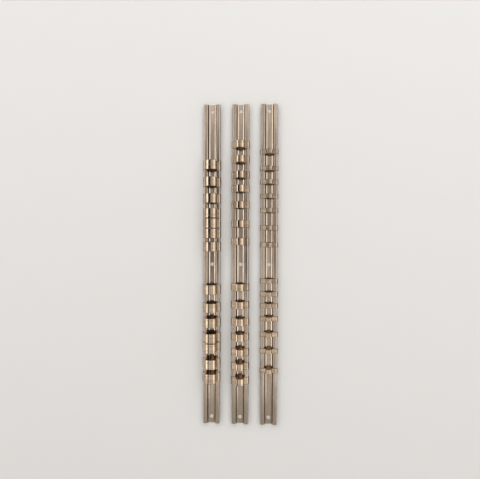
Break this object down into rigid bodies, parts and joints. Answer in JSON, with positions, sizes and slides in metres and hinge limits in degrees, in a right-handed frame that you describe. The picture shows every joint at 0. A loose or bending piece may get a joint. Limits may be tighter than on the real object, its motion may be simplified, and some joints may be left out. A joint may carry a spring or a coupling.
{
  "type": "socket rail set",
  "caption": "Pressed steel rails for a wall or a drawer, each with sliding spring clips whose bulged domes hold sockets by their square drives.",
  "frame": {"origin": "below the middle of the set, on the plane that the rails' backs lie on", "axes": "+Y along the rails, towards the end that is up in the picture; +X across them, from the half inch rail to the quarter inch rail; +Z away from the wall"},
  "size_m": [0.0958, 0.4064, 0.0193],
  "materials": {
    "rail_steel": "bright plated cold rolled steel",
    "clip_steel": "bright plated spring steel"
  },
  "bodies": {
    "rails": {"rail_half_inch": "rail_steel", "rail_three_eighths": "rail_steel", "rail_quarter_inch": "rail_steel"},
    "clip_half_inch_01": {"clip_half_inch_01": "clip_steel"},
    "clip_half_inch_02": {"clip_half_inch_02": "clip_steel"},
    "clip_half_inch_03": {"clip_half_inch_03": "clip_steel"},
    "clip_half_inch_04": {"clip_half_inch_04": "clip_steel"},
    "clip_half_inch_05": {"clip_half_inch_05": "clip_steel"},
    "clip_half_inch_06": {"clip_half_inch_06": "clip_steel"},
    "clip_half_inch_07": {"clip_half_inch_07": "clip_steel"},
    "clip_half_inch_08": {"clip_half_inch_08": "clip_steel"},
    "clip_half_inch_09": {"clip_half_inch_09": "clip_steel"},
    "clip_half_inch_10": {"clip_half_inch_10": "clip_steel"},
    "clip_half_inch_11": {"clip_half_inch_11": "clip_steel"},
    "clip_half_inch_12": {"clip_half_inch_12": "clip_steel"},
    "clip_half_inch_13": {"clip_half_inch_13": "clip_steel"},
    "clip_half_inch_14": {"clip_half_inch_14": "clip_steel"},
    "clip_three_eighths_01": {"clip_three_eighths_01": "clip_steel"},
    "clip_three_eighths_02": {"clip_three_eighths_02": "clip_steel"},
    "clip_three_eighths_03": {"clip_three_eighths_03": "clip_steel"},
    "clip_three_eighths_04": {"clip_three_eighths_04": "clip_steel"},
    "clip_three_eighths_05": {"clip_three_eighths_05": "clip_steel"},
    "clip_three_eighths_06": {"clip_three_eighths_06": "clip_steel"},
    "clip_three_eighths_07": {"clip_three_eighths_07": "clip_steel"},
    "clip_three_eighths_08": {"clip_three_eighths_08": "clip_steel"},
    "clip_three_eighths_09": {"clip_three_eighths_09": "clip_steel"},
    "clip_three_eighths_10": {"clip_three_eighths_10": "clip_steel"},
    "clip_three_eighths_11": {"clip_three_eighths_11": "clip_steel"},
    "clip_three_eighths_12": {"clip_three_eighths_12": "clip_steel"},
    "clip_three_eighths_13": {"clip_three_eighths_13": "clip_steel"},
    "clip_three_eighths_14": {"clip_three_eighths_14": "clip_steel"},
    "clip_quarter_inch_01": {"clip_quarter_inch_01": "clip_steel"},
    "clip_quarter_inch_02": {"clip_quarter_inch_02": "clip_steel"},
    "clip_quarter_inch_03": {"clip_quarter_inch_03": "clip_steel"},
    "clip_quarter_inch_04": {"clip_quarter_inch_04": "clip_steel"},
    "clip_quarter_inch_05": {"clip_quarter_inch_05": "clip_steel"},
    "clip_quarter_inch_06": {"clip_quarter_inch_06": "clip_steel"},
    "clip_quarter_inch_07": {"clip_quarter_inch_07": "clip_steel"},
    "clip_quarter_inch_08": {"clip_quarter_inch_08": "clip_steel"},
    "clip_quarter_inch_09": {"clip_quarter_inch_09": "clip_steel"},
    "clip_quarter_inch_10": {"clip_quarter_inch_10": "clip_steel"},
    "clip_quarter_inch_11": {"clip_quarter_inch_11": "clip_steel"},
    "clip_quarter_inch_12": {"clip_quarter_inch_12": "clip_steel"},
    "clip_quarter_inch_13": {"clip_quarter_inch_13": "clip_steel"},
    "clip_quarter_inch_14": {"clip_quarter_inch_14": "clip_steel"}
  },
  "joints": [
    {"name": "slide_half_inch_01", "type": "slide", "parent": "rails", "child": "clip_half_inch_01", "axis": [0, 1, 0], "range_m": [-0.05389, 0.00547]},
    {"name": "slide_half_inch_02", "type": "slide", "parent": "rails", "child": "clip_half_inch_02", "axis": [0, 1, 0], "range_m": [-0.00547, 0.00773]},
    {"name": "slide_half_inch_03", "type": "slide", "parent": "rails", "child": "clip_half_inch_03", "axis": [0, 1, 0], "range_m": [-0.00773, 0.00049]},
    {"name": "slide_half_inch_04", "type": "slide", "parent": "rails", "child": "clip_half_inch_04", "axis": [0, 1, 0], "range_m": [-0.00049, 0.00705]},
    {"name": "slide_half_inch_05", "type": "slide", "parent": "rails", "child": "clip_half_inch_05", "axis": [0, 1, 0], "range_m": [-0.00705, 0.00637]},
    {"name": "slide_half_inch_06", "type": "slide", "parent": "rails", "child": "clip_half_inch_06", "axis": [0, 1, 0], "range_m": [-0.00637, 0.01089]},
    {"name": "slide_half_inch_07", "type": "slide", "parent": "rails", "child": "clip_half_inch_07", "axis": [0, 1, 0], "range_m": [-0.01089, 0.04162]},
    {"name": "slide_half_inch_08", "type": "slide", "parent": "rails", "child": "clip_half_inch_08", "axis": [0, 1, 0], "range_m": [-0.04162, 0.00456]},
    {"name": "slide_half_inch_09", "type": "slide", "parent": "rails", "child": "clip_half_inch_09", "axis": [0, 1, 0], "range_m": [-0.00456, 0.0005]},
    {"name": "slide_half_inch_10", "type": "slide", "parent": "rails", "child": "clip_half_inch_10", "axis": [0, 1, 0], "range_m": [-0.0005, 0.0005]},
    {"name": "slide_half_inch_11", "type": "slide", "parent": "rails", "child": "clip_half_inch_11", "axis": [0, 1, 0], "range_m": [-0.0005, 0.00637]},
    {"name": "slide_half_inch_12", "type": "slide", "parent": "rails", "child": "clip_half_inch_12", "axis": [0, 1, 0], "range_m": [-0.00637, 0.00863]},
    {"name": "slide_half_inch_13", "type": "slide", "parent": "rails", "child": "clip_half_inch_13", "axis": [0, 1, 0], "range_m": [-0.00863, 0.00863]},
    {"name": "slide_half_inch_14", "type": "slide", "parent": "rails", "child": "clip_half_inch_14", "axis": [0, 1, 0], "range_m": [-0.00863, 0.07174]},
    {"name": "slide_three_eighths_01", "type": "slide", "parent": "rails", "child": "clip_three_eighths_01", "axis": [0, 1, 0], "range_m": [-0.05104, 0.00936]},
    {"name": "slide_three_eighths_02", "type": "slide", "parent": "rails", "child": "clip_three_eighths_02", "axis": [0, 1, 0], "range_m": [-0.00936, 0.00882]},
    {"name": "slide_three_eighths_03", "type": "slide", "parent": "rails", "child": "clip_three_eighths_03", "axis": [0, 1, 0], "range_m": [-0.00882, 0.00963]},
    {"name": "slide_three_eighths_04", "type": "slide", "parent": "rails", "child": "clip_three_eighths_04", "axis": [0, 1, 0], "range_m": [-0.00963, 0.01017]},
    {"name": "slide_three_eighths_05", "type": "slide", "parent": "rails", "child": "clip_three_eighths_05", "axis": [0, 1, 0], "range_m": [-0.01017, 0.01205]},
    {"name": "slide_three_eighths_06", "type": "slide", "parent": "rails", "child": "clip_three_eighths_06", "axis": [0, 1, 0], "range_m": [-0.01205, 0.01312]},
    {"name": "slide_three_eighths_07", "type": "slide", "parent": "rails", "child": "clip_three_eighths_07", "axis": [0, 1, 0], "range_m": [-0.01312, 0.04859]},
    {"name": "slide_three_eighths_08", "type": "slide", "parent": "rails", "child": "clip_three_eighths_08", "axis": [0, 1, 0], "range_m": [-0.04859, 0.01285]},
    {"name": "slide_three_eighths_09", "type": "slide", "parent": "rails", "child": "clip_three_eighths_09", "axis": [0, 1, 0], "range_m": [-0.01285, 0.01473]},
    {"name": "slide_three_eighths_10", "type": "slide", "parent": "rails", "child": "clip_three_eighths_10", "axis": [0, 1, 0], "range_m": [-0.01473, 0.01124]},
    {"name": "slide_three_eighths_11", "type": "slide", "parent": "rails", "child": "clip_three_eighths_11", "axis": [0, 1, 0], "range_m": [-0.01124, 0.00829]},
    {"name": "slide_three_eighths_12", "type": "slide", "parent": "rails", "child": "clip_three_eighths_12", "axis": [0, 1, 0], "range_m": [-0.00829, 0.01017]},
    {"name": "slide_three_eighths_13", "type": "slide", "parent": "rails", "child": "clip_three_eighths_13", "axis": [0, 1, 0], "range_m": [-0.01017, 0.00936]},
    {"name": "slide_three_eighths_14", "type": "slide", "parent": "rails", "child": "clip_three_eighths_14", "axis": [0, 1, 0], "range_m": [-0.00936, 0.04701]},
    {"name": "slide_quarter_inch_01", "type": "slide", "parent": "rails", "child": "clip_quarter_inch_01", "axis": [0, 1, 0], "range_m": [-0.06591, 0.01848]},
    {"name": "slide_quarter_inch_02", "type": "slide", "parent": "rails", "child": "clip_quarter_inch_02", "axis": [0, 1, 0], "range_m": [-0.01848, 0.01476]},
    {"name": "slide_quarter_inch_03", "type": "slide", "parent": "rails", "child": "clip_quarter_inch_03", "axis": [0, 1, 0], "range_m": [-0.01476, 0.01352]},
    {"name": "slide_quarter_inch_04", "type": "slide", "parent": "rails", "child": "clip_quarter_inch_04", "axis": [0, 1, 0], "range_m": [-0.01352, 0.01042]},
    {"name": "slide_quarter_inch_05", "type": "slide", "parent": "rails", "child": "clip_quarter_inch_05", "axis": [0, 1, 0], "range_m": [-0.01042, 0.00825]},
    {"name": "slide_quarter_inch_06", "type": "slide", "parent": "rails", "child": "clip_quarter_inch_06", "axis": [0, 1, 0], "range_m": [-0.00825, 0.01042]},
    {"name": "slide_quarter_inch_07", "type": "slide", "parent": "rails", "child": "clip_quarter_inch_07", "axis": [0, 1, 0], "range_m": [-0.01042, 0.03926]},
    {"name": "slide_quarter_inch_08", "type": "slide", "parent": "rails", "child": "clip_quarter_inch_08", "axis": [0, 1, 0], "range_m": [-0.03926, 0.01538]},
    {"name": "slide_quarter_inch_09", "type": "slide", "parent": "rails", "child": "clip_quarter_inch_09", "axis": [0, 1, 0], "range_m": [-0.01538, 0.01569]},
    {"name": "slide_quarter_inch_10", "type": "slide", "parent": "rails", "child": "clip_quarter_inch_10", "axis": [0, 1, 0], "range_m": [-0.01569, 0.01166]},
    {"name": "slide_quarter_inch_11", "type": "slide", "parent": "rails", "child": "clip_quarter_inch_11", "axis": [0, 1, 0], "range_m": [-0.01166, 0.01166]},
    {"name": "slide_quarter_inch_12", "type": "slide", "parent": "rails", "child": "clip_quarter_inch_12", "axis": [0, 1, 0], "range_m": [-0.01166, 0.01073]},
    {"name": "slide_quarter_inch_13", "type": "slide", "parent": "rails", "child": "clip_quarter_inch_13", "axis": [0, 1, 0], "range_m": [-0.01073, 0.01476]},
    {"name": "slide_quarter_inch_14", "type": "slide", "parent": "rails", "child": "clip_quarter_inch_14", "axis": [0, 1, 0], "range_m": [-0.01476, 0.05754]}
  ]
}
